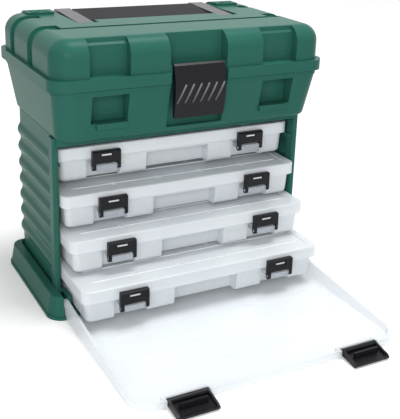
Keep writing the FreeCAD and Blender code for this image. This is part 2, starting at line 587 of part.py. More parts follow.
save("main_latch_pin", bar(LATCH_PIN_RADIUS, -latch_pin_end, latch_pin_end, LATCH_Y, LATCH_Z))

# Front door: a clear shallow tray with ears on the hinge pins and two latches at its far edge


def door_block(inset, z_low, z_high, near):
    block = round_block(DOOR_HALF - inset, DOOR_FAR + inset, DOOR_NEAR + 2 * DOOR_CORNER,
                        DOOR_CORNER - inset, z_low, z_high)
    return block.common(box(-DOOR_HALF, DOOR_HALF, DOOR_FAR, near, z_low, z_high))


door_floor = DOOR_BOTTOM + DOOR_PLATE
door = door_block(0, DOOR_BOTTOM, DOOR_NEAR_HEIGHT, DOOR_NEAR)
door = door.cut(door_block(DOOR_WALL, door_floor, DOOR_NEAR_HEIGHT + 1, DOOR_NEAR + 1))
door = door.cut(side_profile([(DOOR_NEAR + 1, DOOR_NEAR_HEIGHT), (DOOR_NEAR + 1, DOOR_NEAR_HEIGHT + 5),
                              (DOOR_FAR - 1, DOOR_NEAR_HEIGHT + 5), (DOOR_FAR - 1, DOOR_FAR_HEIGHT)],
                             -DOOR_HALF - 1, DOOR_HALF + 1))
ear = side_profile([(DOOR_NEAR - 1, DOOR_BOTTOM), (DOOR_NEAR + 0.2, DOOR_BOTTOM + 2.5),
                    (DOOR_AXIS_Y - 1, DOOR_AXIS_Z - 6), (DOOR_AXIS_Y + 3, DOOR_AXIS_Z - 4.5),
                    (DOOR_AXIS_Y + 4.5, DOOR_AXIS_Z), (DOOR_AXIS_Y + 3.5, DOOR_AXIS_Z + 4.5),
                    (DOOR_AXIS_Y - 2, DOOR_AXIS_Z + 7.6), (DOOR_NEAR - 1, DOOR_NEAR_HEIGHT - 0.1)],
                   DOOR_HALF - DOOR_WALL, DOOR_HALF)
door_fittings = both_sides(ear)
for y in DOOR_RIBS:
    door_fittings.append(box(DOOR_WALL - DOOR_HALF, DOOR_HALF - DOOR_WALL, y - 1, y + 1, door_floor - 0.1,
                             door_floor + 0.4))
door = door.fuse(door_fittings)
for side in (-1, 1):
    middle = side * DOOR_LATCH_X
    notch_half = DOOR_LATCH_HALF + SIDE_GAP
    door = door.cut(box(middle - notch_half, middle + notch_half, DOOR_FAR - 1, DOOR_NOTCH_Y,
                        0, DOOR_FAR_HEIGHT + 3))
    lugs = [box(middle - notch_half - 2.6, middle + notch_half + 2.6, DOOR_NOTCH_Y, DOOR_NOTCH_Y + 2,
                door_floor - 0.1, DOOR_FAR_HEIGHT)]
    for end in (-1, 1):
        low = middle + end * (notch_half + 1.3) - 1.3
        lugs.append(box(low, low + 2.6, DOOR_FAR, DOOR_NOTCH_Y + 1, DOOR_BOTTOM, DOOR_FAR_HEIGHT))
    door = door.fuse(lugs)
    door = door.cut(bar(DOOR_LATCH_PIN + 0.02, middle - notch_half - 2.3, middle + notch_half + 2.3,
                        DOOR_LATCH_Y, DOOR_LATCH_Z))
for hole in both_sides(bar(DOOR_PIN_RADIUS + RUNNING_CLEARANCE, DOOR_HALF - DOOR_WALL - 1, DOOR_HALF + 1,
                           DOOR_AXIS_Y, DOOR_AXIS_Z)):
    door = door.cut(hole)
save("front_door", door.removeSplitter())

hook_y = DOOR_AXIS_Y - (WINDOW_BOTTOM + 0.4 - DOOR_AXIS_Z)
door_pins = []
for side, name in ((-1, "door_latch_left"), (1, "door_latch_right")):
    middle = side * DOOR_LATCH_X
    low = middle - DOOR_LATCH_HALF
    high = middle + DOOR_LATCH_HALF
    flap = side_profile([(DOOR_LATCH_Y - 1, DOOR_LATCH_Z - 2.4), (DOOR_LATCH_Y - 1, DOOR_LATCH_Z + 0.2),
                         (DOOR_LATCH_Y - 2.6, 4.0), (DOOR_LATCH_TIP + 2.5, 3.1), (DOOR_LATCH_TIP, 3.4),
                         (DOOR_LATCH_TIP, 1.4), (DOOR_LATCH_TIP + 1.5, 0.7)], low, high)
    pieces = [bar(DOOR_LATCH_BARREL, low, high, DOOR_LATCH_Y, DOOR_LATCH_Z)]
    for cheek_low in (low, high - 1.8):
        pieces.append(side_profile([(DOOR_LATCH_Y, DOOR_LATCH_Z + DOOR_LATCH_BARREL),
                                    (DOOR_LATCH_Y - 6, DOOR_LATCH_Z + 1.4), (DOOR_LATCH_TIP + 2, 4.6),
                                    (DOOR_LATCH_TIP, 3), (DOOR_LATCH_TIP + 1.5, 0.9),
                                    (DOOR_LATCH_Y, DOOR_LATCH_Z - DOOR_LATCH_BARREL)],
                                   cheek_low, cheek_low + 1.8))
    pieces.append(box(middle - 12, middle + 12, hook_y - 1.9, hook_y, 2.0, 8.5))
    latch_body = flap.fuse(pieces)
    latch_body = latch_body.cut(bar(DOOR_LATCH_PIN + RUNNING_CLEARANCE, low - 1, high + 1,
                                    DOOR_LATCH_Y, DOOR_LATCH_Z))
    save(name, latch_body.removeSplitter())
    door_pins.append(bar(DOOR_LATCH_PIN, low - SIDE_GAP - 2.2, high + SIDE_GAP + 2.2, DOOR_LATCH_Y,
                         DOOR_LATCH_Z))
save("door_latch_pins", Part.makeCompound(door_pins))

# One organiser: a drafted tray with blocks and latch bosses on its front, its clear lid,
# dividers, lid pins and two snap latches
tray_inset = RIM_SKIRT + TRAY_GAP
tray_low_inset = tray_inset + TRAY_DRAFT
tray = round_loft((RIM_HALF - tray_low_inset, tray_low_inset, RIM_DEPTH - tray_low_inset, TRAY_CORNER, 0),
                  (RIM_HALF - tray_inset, tray_inset, RIM_DEPTH - tray_inset, TRAY_CORNER, TRAY_TOP))
tray = round_height(tray, 0, TRAY_ROUND)
inner_inset = tray_inset + TRAY_WALL
tray_hollow = round_loft(
    (RIM_HALF - inner_inset - TRAY_DRAFT, inner_inset + TRAY_DRAFT, RIM_DEPTH - inner_inset - TRAY_DRAFT,
     TRAY_CORNER - TRAY_WALL, TRAY_WALL),
    (RIM_HALF - inner_inset, inner_inset, RIM_DEPTH - inner_inset, TRAY_CORNER - TRAY_WALL, TRAY_TOP))
tray_hollow = round_height(tray_hollow, TRAY_WALL, TRAY_ROUND - TRAY_WALL)


def front_bays(grow):
    """The steps back in the tray's front, made larger by grow to wrap a wall round them."""
    bay_half = CLIP_BAY_MARGIN + grow
    bays = both_sides(box(CLIP_X - bay_half, CLIP_X + bay_half, -1, tray_inset + CLIP_BAY_DEPTH + grow,
                          -1, BAY_TOP + grow))
    return bays + [box(-BAY_HALF - grow, BAY_HALF + grow, -1, tray_inset + BAY_DEPTH + grow, -1,
                       BAY_TOP + grow)]


tray = tray.cut(front_bays(0)).cut(tray_hollow.cut(front_bays(TRAY_WALL)))
front_bosses = []
for side in (-1, 1):
    front_bosses.append(box(side * CLIP_X - CLIP_BOSS_HALF, side * CLIP_X + CLIP_BOSS_HALF,
                            CLIP_FRONT + 0.5,
                            tray_inset + CLIP_BAY_DEPTH + 1, CLIP_BOTTOM, CLIP_PIVOT_Z + 2.4))
    front_bosses.append(bar(CLIP_PIN_RADIUS, side * CLIP_X - CLIP_HALF + 0.3,
                            side * CLIP_X + CLIP_HALF - 0.3,
                            CLIP_PIVOT_Y, CLIP_PIVOT_Z))
tray = tray.fuse(front_bosses)
rim = round_block(RIM_HALF, 0, RIM_DEPTH, RIM_CORNER, RIM_BOTTOM, RIM_TOP)
rim = round_height(rim, RIM_TOP, 1.2)
rim = rim.cut(round_block(RIM_HALF - RIM_SKIRT, RIM_SKIRT, RIM_DEPTH - RIM_SKIRT, RIM_CORNER - RIM_SKIRT,
                          RIM_BOTTOM, TRAY_TOP + 0.1))
rim = rim.cut(round_block(RIM_HALF - LID_PANEL_MARGIN, LID_PANEL_MARGIN, RIM_DEPTH - LID_PANEL_MARGIN, 4,
                          RIM_TOP - LID_PANEL_SINK, RIM_TOP + 1))
rim_catches = [box(side * CLIP_X - CATCH_HALF_WIDTH, side * CLIP_X + CATCH_HALF_WIDTH, CLIP_FRONT + 0.9,
                   RIM_SKIRT / 2, CATCH_LOW, CATCH_HIGH) for side in (-1, 1)]
rim = rim.fuse(rim_catches)
pin_y = RIM_DEPTH - 9
pin_z = RIM_BOTTOM + 3.5
lid_pin = bar(ORGANIZER_PIN_RADIUS, RIM_HALF - tray_inset - TRAY_WALL - 1, RIM_HALF - 0.2, pin_y, pin_z)
lid_pin_hole = bar(ORGANIZER_PIN_RADIUS + 0.02, RIM_HALF - tray_inset - TRAY_WALL - 2, RIM_HALF + 1,
                   pin_y, pin_z)
tray = tray.cut(both_sides(lid_pin_hole))
rim = rim.cut(both_sides(lid_pin_hole))
divider_front = tray_inset + BAY_DEPTH + 2 * TRAY_WALL
divider_rear = RIM_DEPTH - inner_inset - TRAY_DRAFT - TRAY_ROUND + TRAY_WALL
dividers = [box(x - DIVIDER_THICK / 2, x + DIVIDER_THICK / 2, divider_front, divider_rear,
                TRAY_WALL, DIVIDER_TOP) for x in DIVIDER_XS]
clip = box(-CLIP_HALF, CLIP_HALF, CLIP_FRONT, CLIP_BACK, CLIP_BOTTOM, CLIP_TOP)
clip = clip.makeFillet(1.6, [edge for edge in clip.Edges
                             if edge.BoundBox.XLength > 10 and edge.BoundBox.YMax < CLIP_FRONT + 1])
clip = clip.cut(box(-CLIP_BOSS_HALF - 0.5, CLIP_BOSS_HALF + 0.5, CLIP_FRONT - 1, CLIP_BACK + 1, 0,
                    CLIP_PIVOT_Z + 4.2))
clip = clip.cut(box(-CATCH_HALF_WIDTH - CLIP_SLOT_GAP, CATCH_HALF_WIDTH + CLIP_SLOT_GAP, CLIP_FRONT - 1,
                    CLIP_BACK + 1, CATCH_LOW - 0.4, CATCH_HIGH + CLIP_SLOT_GAP))
clip = clip.cut(box(-11.5, 11.5, CLIP_FRONT + 1.6, CLIP_BACK + 1, CLIP_PIVOT_Z + 5.6, CATCH_HIGH + 1.8))
leg_rounding = box(-CLIP_HALF, CLIP_HALF, CLIP_FRONT - 1, CLIP_BACK + 1, CLIP_BOTTOM - 1, CLIP_PIVOT_Z)
leg_end = bar(CLIP_PIVOT_Z - CLIP_BOTTOM, -CLIP_HALF, CLIP_HALF, CLIP_PIVOT_Y, CLIP_PIVOT_Z)
clip = clip.cut(leg_rounding.cut(leg_end))
clip = clip.cut(bar(CLIP_PIN_RADIUS + RUNNING_CLEARANCE, -CLIP_HALF - 1, CLIP_HALF + 1,
                    CLIP_PIVOT_Y, CLIP_PIVOT_Z))
pieces = {"tray": tray.removeSplitter(), "lid": rim.removeSplitter(),
          "dividers": Part.makeCompound(dividers),
          "lid_pins": Part.makeCompound(both_sides(lid_pin)),
          "clip_left": clip.translated(V(-CLIP_X, 0, 0)), "clip_right": clip.translated(V(CLIP_X, 0, 0))}
for number, (bottom, front) in enumerate(zip(ORGANIZER_BOTTOMS, ORGANIZER_FRONTS), 1):
    for name, shape in pieces.items():
        save("organizer_%d_%s" % (number, name), shape.translated(V(0, front, bottom)))
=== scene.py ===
# Dressed model of a portable fishing tackle cabinet, in metres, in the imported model's frame.
import json
import math

import bmesh
import bpy
from mathutils import Matrix, Vector


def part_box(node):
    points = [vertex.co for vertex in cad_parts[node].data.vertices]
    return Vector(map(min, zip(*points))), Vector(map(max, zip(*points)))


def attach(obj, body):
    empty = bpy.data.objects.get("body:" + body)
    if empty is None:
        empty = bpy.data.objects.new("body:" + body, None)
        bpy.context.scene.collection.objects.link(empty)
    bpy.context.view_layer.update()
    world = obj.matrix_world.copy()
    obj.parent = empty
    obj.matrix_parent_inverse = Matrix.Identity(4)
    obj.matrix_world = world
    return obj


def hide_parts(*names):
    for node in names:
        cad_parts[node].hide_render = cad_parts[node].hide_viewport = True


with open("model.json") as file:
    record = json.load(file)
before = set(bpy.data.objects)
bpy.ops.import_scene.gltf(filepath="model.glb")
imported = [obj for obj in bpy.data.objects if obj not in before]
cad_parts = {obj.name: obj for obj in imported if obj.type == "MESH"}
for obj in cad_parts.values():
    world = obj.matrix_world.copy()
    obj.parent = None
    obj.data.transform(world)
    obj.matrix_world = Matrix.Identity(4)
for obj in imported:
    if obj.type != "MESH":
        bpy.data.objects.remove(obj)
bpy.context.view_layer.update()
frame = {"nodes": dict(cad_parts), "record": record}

scene = bpy.context.scene
scene.view_settings.view_transform = "Standard"

# Camera: a long lens at the front left, a little above the cabinet, rolled slightly.
FRAME_TALL_PX = 419
CAMERA_PLACE = Vector((-0.32973, -0.69078, 0.37898))
CAMERA_AZIMUTH = math.radians(-28.35)
CAMERA_ELEVATION = math.radians(18.58)
CAMERA_ROLL = math.radians(1.92)
SENSOR_WIDTH = 36.0
NEAREST = 0.01
FARTHEST = 20.0
FOCAL_PX = 828.67
AXIS_ROW_PX = 150.0
camera_data = bpy.data.cameras.new("camera")
camera_data.sensor_width = SENSOR_WIDTH
camera_data.lens = FOCAL_PX * SENSOR_WIDTH / FRAME_TALL_PX
camera_data.shift_y = (AXIS_ROW_PX - FRAME_TALL_PX / 2) / FRAME_TALL_PX
camera_data.clip_start = NEAREST
camera_data.clip_end = FARTHEST
camera = bpy.data.objects.new("camera", camera_data)
scene.collection.objects.link(camera)
scene.camera = camera
back = Vector((math.sin(CAMERA_AZIMUTH) * math.cos(CAMERA_ELEVATION),
               -math.cos(CAMERA_AZIMUTH) * math.cos(CAMERA_ELEVATION), math.sin(CAMERA_ELEVATION)))
level = Vector((math.cos(CAMERA_AZIMUTH), math.sin(CAMERA_AZIMUTH), 0.0))
upright = back.cross(level)
across = level * math.cos(CAMERA_ROLL) + upright * math.sin(CAMERA_ROLL)
up = -level * math.sin(CAMERA_ROLL) + upright * math.cos(CAMERA_ROLL)
turn = Matrix((across, up, back)).transposed().to_4x4()
camera.matrix_world = Matrix.Translation(CAMERA_PLACE) @ turn

# Studio: a white floor that keeps the shadow, a white surround, one broad lamp overhead and one
# soft lamp at the front left. The floor glows a little more away from the cabinet, so that it
# meets the white surround.
FLOOR_HALF = 3.0
FLOOR_WHITE = 0.94
FLOOR_ROUGHNESS = 0.9
WORLD_LEVEL = 0.32
SURROUND_WHITE = 1.0
GLOW_NEAR = 0.20
GLOW_FAR = 0.62
GLOW_STARTS = 0.35
GLOW_ENDS = 0.95
OVERHEAD_POWER = 12
FRONT_POWER = 9.5
floor_mesh = bpy.data.meshes.new("studio_floor")
floor_mesh.from_pydata([(-FLOOR_HALF, -FLOOR_HALF, 0), (FLOOR_HALF, -FLOOR_HALF, 0),
                        (FLOOR_HALF, FLOOR_HALF, 0), (-FLOOR_HALF, FLOOR_HALF, 0)], [], [(0, 1, 2, 3)])
floor = bpy.data.objects.new("studio_floor", floor_mesh)
scene.collection.objects.link(floor)


def new_material(name):
    """A Principled material, its node tree and its shader."""
    material = bpy.data.materials.new(name)
    material.use_nodes = True
    tree = material.node_tree
    return material, tree, tree.nodes["Principled BSDF"]


def seen_directly(tree):
    """A socket that is 1 for camera, mirror and see-through rays, and 0 for the light that falls."""
    path = tree.nodes.new("ShaderNodeLightPath")
    total = path.outputs["Is Camera Ray"]
    for ray in ("Is Glossy Ray", "Is Transmission Ray"):
        joined = tree.nodes.new("ShaderNodeMath")
        joined.operation = "MAXIMUM"
        tree.links.new(total, joined.inputs[0])
        tree.links.new(path.outputs[ray], joined.inputs[1])
        total = joined.outputs["Value"]
    return total


floor_material, tree, shader = new_material("studio_floor")
shader.inputs["Base Color"].default_value = (FLOOR_WHITE, FLOOR_WHITE, FLOOR_WHITE, 1)
shader.inputs["Roughness"].default_value = FLOOR_ROUGHNESS
shader.inputs["Specular IOR Level"].default_value = 0.0
shader.inputs["Emission Color"].default_value = (1, 1, 1, 1)
glow = tree.nodes.new("ShaderNodeMath")
glow.operation = "MULTIPLY"
where = tree.nodes.new("ShaderNodeTexCoord")
reach = tree.nodes.new("ShaderNodeVectorMath")
reach.operation = "LENGTH"
tree.links.new(where.outputs["Object"], reach.inputs[0])
spread = tree.nodes.new("ShaderNodeMapRange")
spread.inputs["From Min"].default_value = GLOW_STARTS
spread.inputs["From Max"].default_value = GLOW_ENDS
spread.inputs["To Min"].default_value = GLOW_NEAR
spread.inputs["To Max"].default_value = GLOW_FAR
tree.links.new(reach.outputs["Value"], spread.inputs["Value"])
tree.links.new(seen_directly(tree), glow.inputs[0])
tree.links.new(spread.outputs["Result"], glow.inputs[1])
tree.links.new(glow.outputs["Value"], shader.inputs["Emission Strength"])
floor_mesh.materials.append(floor_material)

world = bpy.data.worlds.new("studio")
scene.world = world
world.use_nodes = True
surround = world.node_tree.nodes["Background"]
surround.inputs["Color"].default_value = (1, 1, 1, 1)
level_range = world.node_tree.nodes.new("ShaderNodeMapRange")
level_range.inputs["To Min"].default_value = WORLD_LEVEL
level_range.inputs["To Max"].default_value = SURROUND_WHITE
world.node_tree.links.new(seen_directly(world.node_tree), level_range.inputs["Value"])
world.node_tree.links.new(level_range.outputs["Result"], surround.inputs["Strength"])


def area_lamp(name, place, target, size, power):
    """A rectangular lamp at a place, turned to its target."""
    lamp = bpy.data.lights.new(name, "AREA")
    lamp.shape = "RECTANGLE"
    lamp.size, lamp.size_y = size
    lamp.energy = power
    holder = bpy.data.objects.new(name, lamp)
    scene.collection.objects.link(holder)
    aim = (Vector(place) - Vector(target)).to_track_quat("Z", "Y").to_matrix().to_4x4()
    holder.matrix_world = Matrix.Translation(place) @ aim


area_lamp("overhead_lamp", place=(0.20, -0.08, 1.25), target=(0, -0.03, 0.1), size=(0.55, 0.6),
          power=OVERHEAD_POWER)
area_lamp("front_lamp", place=(-0.66, -1.20, 0.66), target=(0, -0.08, 0.08), size=(0.8, 0.6),
          power=FRONT_POWER)

# Base plinth: one moulding in dark green polypropylene, a flared foot under the cabinet, with
# the slots and pins that the clear door turns on.
GREEN = (0.025, 0.120, 0.092)
STEEL = (0.55, 0.55, 0.55)
UNEVEN_COLOUR = 0.07
UNEVEN_GLOSS = 0.06
CLOUD_SCALE = 14
GRAIN_DEPTH = 0.0002
SAME_POINT = 1e-6
FLAT_ANGLE = math.radians(0.6)
EDGE_ANGLE = math.radians(38)
SHARP_ANGLE = math.radians(60)
EDGE_STEPS = 2
PLINTH_EDGE = 0.0008
nodes = frame["nodes"]
bodies = frame["record"]["behaviour"]["bodies"]
body_of = {name: body for body, names in bodies.items() for name in names}


def grained(name, colour, roughness, grain, relief):
    """A finish with a slightly uneven colour, and a fine grain in its gloss and relief."""
    material, tree, shader = new_material(name)
    links = tree.links
    where = tree.nodes.new("ShaderNodeTexCoord")
    cloud = tree.nodes.new("ShaderNodeTexNoise")
    cloud.inputs["Scale"].default_value = CLOUD_SCALE
    cloud.inputs["Detail"].default_value = 4
    fine = tree.nodes.new("ShaderNodeTexNoise")
    fine.inputs["Scale"].default_value = grain
    fine.inputs["Detail"].default_value = 3
    links.new(where.outputs["Object"], cloud.inputs["Vector"])
    links.new(where.outputs["Object"], fine.inputs["Vector"])
    mix = tree.nodes.new("ShaderNodeMix")
    mix.data_type = "RGBA"
    mix.inputs["A"].default_value = (*[value * (1 - UNEVEN_COLOUR) for value in colour], 1)
    mix.inputs["B"].default_value = (*[min(1, value * (1 + UNEVEN_COLOUR)) for value in colour], 1)
    links.new(cloud.outputs["Fac"], mix.inputs["Factor"])
    links.new(mix.outputs["Result"], shader.inputs["Base Color"])
    spread = tree.nodes.new("ShaderNodeMapRange")
    spread.inputs["To Min"].default_value = roughness - UNEVEN_GLOSS
    spread.inputs["To Max"].default_value = roughness + UNEVEN_GLOSS
    links.new(fine.outputs["Fac"], spread.inputs["Value"])
    links.new(spread.outputs["Result"], shader.inputs["Roughness"])
    bump = tree.nodes.new("ShaderNodeBump")
    bump.inputs["Strength"].default_value = relief
    bump.inputs["Distance"].default_value = GRAIN_DEPTH
    links.new(fine.outputs["Fac"], bump.inputs["Height"])
    links.new(bump.outputs["Normal"], shader.inputs["Normal"])
    return material, tree, shader


def joined_copy(node):
    """A bmesh of a solid with its doubles merged and its flat faces joined up."""
    work = bmesh.new()
    work.from_mesh(nodes[node].data)
    bmesh.ops.remove_doubles(work, verts=work.verts, dist=SAME_POINT)
    bmesh.ops.dissolve_limit(work, angle_limit=FLAT_ANGLE, verts=work.verts, edges=work.edges)
    return work


def finished_piece(node, work, materials, edge):
    """A bmesh as a plain piece with its sharp edges rounded over, which stands for a solid."""
    name = node + "_moulded"
    mesh = bpy.data.meshes.new(name)
    work.to_mesh(mesh)
    work.free()
    piece = bpy.data.objects.new(name, mesh)
    scene.collection.objects.link(piece)
    for material in materials:
        mesh.materials.append(material)
    bevel = piece.modifiers.new("soft_edges", "BEVEL")
    bevel.width = edge
    bevel.segments = EDGE_STEPS
    bevel.limit_method = "ANGLE"
    bevel.angle_limit = EDGE_ANGLE
    weighted = piece.modifiers.new("flat_faces", "WEIGHTED_NORMAL")
    weighted.keep_sharp = True
    for face in mesh.polygons:
        face.use_smooth = True
    mesh.set_sharp_from_angle(angle=SHARP_ANGLE)
    depsgraph = bpy.context.evaluated_depsgraph_get()
    piece.data = bpy.data.meshes.new_from_object(piece.evaluated_get(depsgraph))
    piece.modifiers.clear()
    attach(piece, body_of[node])
    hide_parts(node)


def softened(node, material, edge):
    """A solid's copy with soft edges, in one finish."""
    finished_piece(node, joined_copy(node), [material], edge)


green, tree, shader = grained("green_polypropylene", GREEN, roughness=0.30, grain=900, relief=0.08)
shader.inputs["Specular IOR Level"].default_value = 0.06
softened("base_plinth", green, PLINTH_EDGE)
steel, tree, shader = grained("steel_pin", STEEL, roughness=0.3, grain=1500, relief=0.05)
shader.inputs["Metallic"].default_value = 1.0


def refinish(node, material):
    """A solid that stays as it is, in its own finish."""
    nodes[node].data.materials.clear()
    nodes[node].data.materials.append(material)


refinish("door_hinge_pins", steel)

# Cabinet shell: a green wall moulded in waves round three sides, open at the front, with
# posts, decks and a pair of runners for each organiser.
SHELL_EDGE = 0.0004
softened("cabinet_shell", green, SHELL_EDGE)

# Fascia strip and its screws: a green strip across the front of the deck, held by three small
# screws sunk in it.
FASCIA_EDGE = 0.0004
DARK_STEEL = (0.04, 0.04, 0.04)
softened("fascia_strip", green, FASCIA_EDGE)
dark_steel, tree, shader = grained("dark_steel", DARK_STEEL, roughness=0.4, grain=1500, relief=0.05)
shader.inputs["Metallic"].default_value = 1.0
refinish("fascia_screws", dark_steel)

# Upper bin: a flared green box on the cabinet's deck, with two finger windows, a bay for the
# latch and half of the rear hinges.
BIN_EDGE = 0.0006
softened("upper_bin", green, BIN_EDGE)
refinish("lid_hinge_pins", steel)

# Lid: a hollow green cover with a band round its foot, deep panels between rounded columns at
# the front, grooves over its sides and top, and a well for the handle.
LID_EDGE = 0.0006
COLUMN_ROUND = 0.0024
COLUMN_STEPS = 4
COLUMN_FRONT = -0.0655
COLUMN_FOOT = 0.2164
COLUMN_OUTSIDE = 0.11
COLUMN_ANGLE = math.radians(45)
UPRIGHT_WITHIN = 1e-5
PAD_TOP = 0.2507
PAD_INSIDE = 0.080
PAD_BORDER = 0.0016
PAD_SINK = 0.0007
PAD_TOP_WITHIN = 0.0003
LEVEL_FACE = 0.99


def is_column_edge(edge):
    """Whether an edge is an upright corner of the columns between the front panels."""
    first, last = [vertex.co for vertex in edge.verts]
    upright = abs(first.x - last.x) < UPRIGHT_WITHIN and len(edge.link_faces) == 2
    if not upright or not edge.is_convex or edge.calc_face_angle() <= COLUMN_ANGLE:
        return False
    return (max(first.y, last.y) < COLUMN_FRONT and min(first.z, last.z) > COLUMN_FOOT
            and abs(first.x) < COLUMN_OUTSIDE)


def is_pad_top(face):
    """Whether a face is the flat top of one of the two pads."""
    middle = face.calc_center_median()
    return face.normal.z > LEVEL_FACE and middle.z > PAD_TOP - PAD_TOP_WITHIN and abs(middle.x) > PAD_INSIDE


lid_work = joined_copy("lid")
column_edges = [edge for edge in lid_work.edges if is_column_edge(edge)]
bmesh.ops.bevel(lid_work, geom=column_edges, offset=COLUMN_ROUND, segments=COLUMN_STEPS, profile=0.5,
                affect="EDGES", clamp_overlap=True)
pad_tops = [face for face in lid_work.faces if is_pad_top(face)]
bmesh.ops.inset_region(lid_work, faces=pad_tops, thickness=PAD_BORDER, depth=-PAD_SINK, use_even_offset=True)
finished_piece("lid", lid_work, [green], LID_EDGE)

# Pad relief: rows of plain raised curls, moulded with the lid, that fill the sunk middle of the
# two pads beside the handle well.
CURL_RADIUS = 0.0025
CURL_WIDTH = 0.0012
CURL_RISE = PAD_SINK - 0.0001
CURL_STEPS = 14
CURL_SWEEP = math.radians(250)
CURL_TURN = 2.2
CURLS_X = 0.0985
CURLS_Y = 0.0620
CURLS_WIDE = 0.0142
CURLS_DEEP = 0.0066
RIDGE_FOOT = 0.0002
RIDGE_SHOULDER = 0.4
RIDGE_CROWN = 0.30
RIDGE_END_CROWN = 0.18


def repeat_tree(name):
    """A tree that sets its input shape out in rows and columns, each one turned a little more."""
    tree = bpy.data.node_groups.new(name, "GeometryNodeTree")
    add = tree.interface.new_socket
    add("Geometry", in_out="INPUT", socket_type="NodeSocketGeometry")
    for label, kind in (("Columns", "NodeSocketInt"), ("Rows", "NodeSocketInt"),
                        ("Width", "NodeSocketFloat"), ("Depth", "NodeSocketFloat"),
                        ("Middle", "NodeSocketVector"), ("Turn", "NodeSocketFloat"),
                        ("Finish", "NodeSocketMaterial")):
        add(label, in_out="INPUT", socket_type=kind)
    add("Geometry", in_out="OUTPUT", socket_type="NodeSocketGeometry")
    made = tree.nodes.new
    given = made("NodeGroupInput")
    grid = made("GeometryNodeMeshGrid")
    shift = made("GeometryNodeSetPosition")
    place = made("GeometryNodeInstanceOnPoints")
    order = made("GeometryNodeInputIndex")
    angle = made("ShaderNodeMath")
    angle.operation = "MULTIPLY"
    upright = made("ShaderNodeCombineXYZ")
    real = made("GeometryNodeRealizeInstances")
    finish = made("GeometryNodeSetMaterial")
    result = made("NodeGroupOutput")
    for start, start_socket, end, end_socket in (
            (given, "Width", grid, "Size X"), (given, "Depth", grid, "Size Y"),
            (given, "Columns", grid, "Vertices X"), (given, "Rows", grid, "Vertices Y"),
            (grid, "Mesh", shift, "Geometry"), (given, "Middle", shift, "Offset"),
            (shift, "Geometry", place, "Points"), (given, "Geometry", place, "Instance"),
            (upright, "Vector", place, "Rotation"), (angle, "Value", upright, "Z"),
            (place, "Instances", real, "Geometry"), (real, "Geometry", finish, "Geometry"),
            (given, "Finish", finish, "Material"), (finish, "Geometry", result, "Geometry")):
        tree.links.new(start.outputs[start_socket], end.inputs[end_socket])
    tree.links.new(order.outputs["Index"], angle.inputs[0])
    tree.links.new(given.outputs["Turn"], angle.inputs[1])
    return tree


set_out = repeat_tree("rows_and_columns")


def repeated(name, work, material, node, **sizes):
    """One shape set out in rows and columns on a solid, as a plain mesh that rides with it."""
    mesh = bpy.data.meshes.new(name)
    work.to_mesh(mesh)
    work.free()
    piece = bpy.data.objects.new(name, mesh)
    scene.collection.objects.link(piece)
    layout = piece.modifiers.new("set_out", "NODES")
    layout.node_group = set_out
    sizes["Finish"] = material
    for socket in set_out.interface.items_tree:
        if socket.in_out == "INPUT" and socket.name in sizes:
            layout[socket.identifier] = sizes[socket.name]
    depsgraph = bpy.context.evaluated_depsgraph_get()
    piece.data = bpy.data.meshes.new_from_object(piece.evaluated_get(depsgraph))
    piece.modifiers.clear()
    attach(piece, body_of[node])


def ridge(path, width, height):
    """A closed ridge with a narrower top along a path of points on a flat face."""
    work = bmesh.new()
    rings = []
    for number, point in enumerate(path):
        before = path[max(0, number - 1)]
        after = path[min(len(path) - 1, number + 1)]
        run = (Vector(after) - Vector(before)).normalized()
        beside = Vector((-run.y, run.x, 0))
        end = number in (0, len(path) - 1)
        crown = width * (RIDGE_END_CROWN if end else RIDGE_CROWN)
        outline = ((-width / 2, -RIDGE_FOOT), (width / 2, -RIDGE_FOOT), (width / 2, height * RIDGE_SHOULDER),
                   (crown, height), (-crown, height), (-width / 2, height * RIDGE_SHOULDER))
        rings.append([work.verts.new(Vector((*point, 0)) + beside * aside + Vector((0, 0, level)))
                      for aside, level in outline])
    for first, second in zip(rings, rings[1:]):
        for corner in range(len(first)):
            following = (corner + 1) % len(first)
            work.faces.new((first[corner], second[corner], second[following], first[following]))
    work.faces.new(rings[0])
    work.faces.new(rings[-1])
    bmesh.ops.recalc_face_normals(work, faces=work.faces)
    return work


curl_angles = [CURL_SWEEP * step / CURL_STEPS for step in range(CURL_STEPS + 1)]
curl = [(CURL_RADIUS * math.cos(angle), CURL_RADIUS * math.sin(angle)) for angle in curl_angles]
for side, label in ((-1, "left"), (1, "right")):
    repeated("pad_relief_" + label, ridge(curl, CURL_WIDTH, CURL_RISE), green, "lid", Columns=3, Rows=2,
             Width=CURLS_WIDE, Depth=CURLS_DEEP, Middle=(side * CURLS_X, CURLS_Y, PAD_TOP - PAD_SINK),
             Turn=side * CURL_TURN)

# Carry handle: two flat black arms on pins in the well, with a wide black grip between them. The
# arms' black is lifted above the grip's, a painted sheen for their glancing reflection of the white
# surround.
# Painted sheen: the arms' lighter black stands for the reflection on their flat tops.
ARM_BLACK_PAINTED_SHEEN = (0.045, 0.045, 0.052)
GRIP_BLACK = (0.012, 0.012, 0.014)
ARM_EDGE = 0.0006
GRIP_EDGE = 0.0004
arm_painted_sheen, tree, shader = grained("arm_plastic_painted_sheen", ARM_BLACK_PAINTED_SHEEN, roughness=0.3, grain=900, relief=0.06)
grip_black, tree, shader = grained("grip_plastic", GRIP_BLACK, roughness=0.45, grain=900, relief=0.12)
shader.inputs["Specular IOR Level"].default_value = 0.06
softened("handle_arms", arm_painted_sheen, ARM_EDGE)
softened("handle_grip", grip_black, GRIP_EDGE)
for node in ("handle_pins", "grip_pins"):
    refinish(node, steel)
